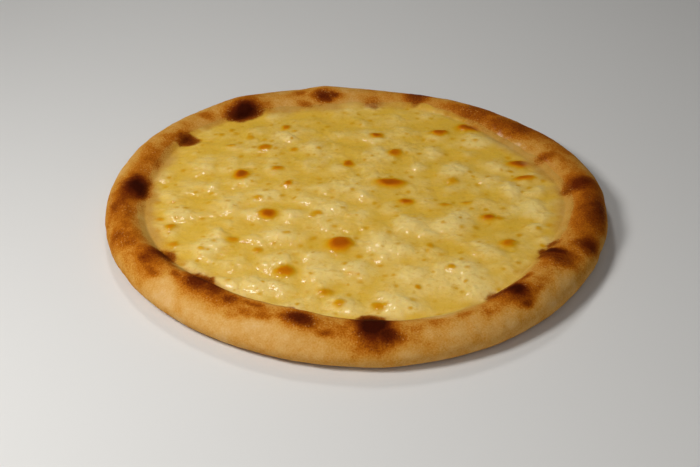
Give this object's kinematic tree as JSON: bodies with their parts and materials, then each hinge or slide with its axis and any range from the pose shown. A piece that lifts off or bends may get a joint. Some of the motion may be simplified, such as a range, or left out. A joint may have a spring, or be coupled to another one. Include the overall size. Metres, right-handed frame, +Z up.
{
  "type": "cheese flatbread",
  "caption": "Round baked flatbread with a puffed, browned rim around a shallow well filled level with lumpy melted cheese; it rests on its flat underside.",
  "frame": {"origin": "middle of the bounding box, on the flat underside that the bread rests on", "axes": "+Z up, out of the cheese; -Y towards the front of the rim, which stands highest; +X to the right seen from the front"},
  "size_m": [0.2898, 0.2862, 0.0213],
  "materials": {
    "crust": "matt baked dough, pale gold to brown, with dark blisters",
    "cheese": "oily melted cheese, creamy yellow, with pale curds and small browned spots"
  },
  "bodies": {
    "root": {"crust": "crust", "cheese": "cheese"}
  },
  "joints": []
}
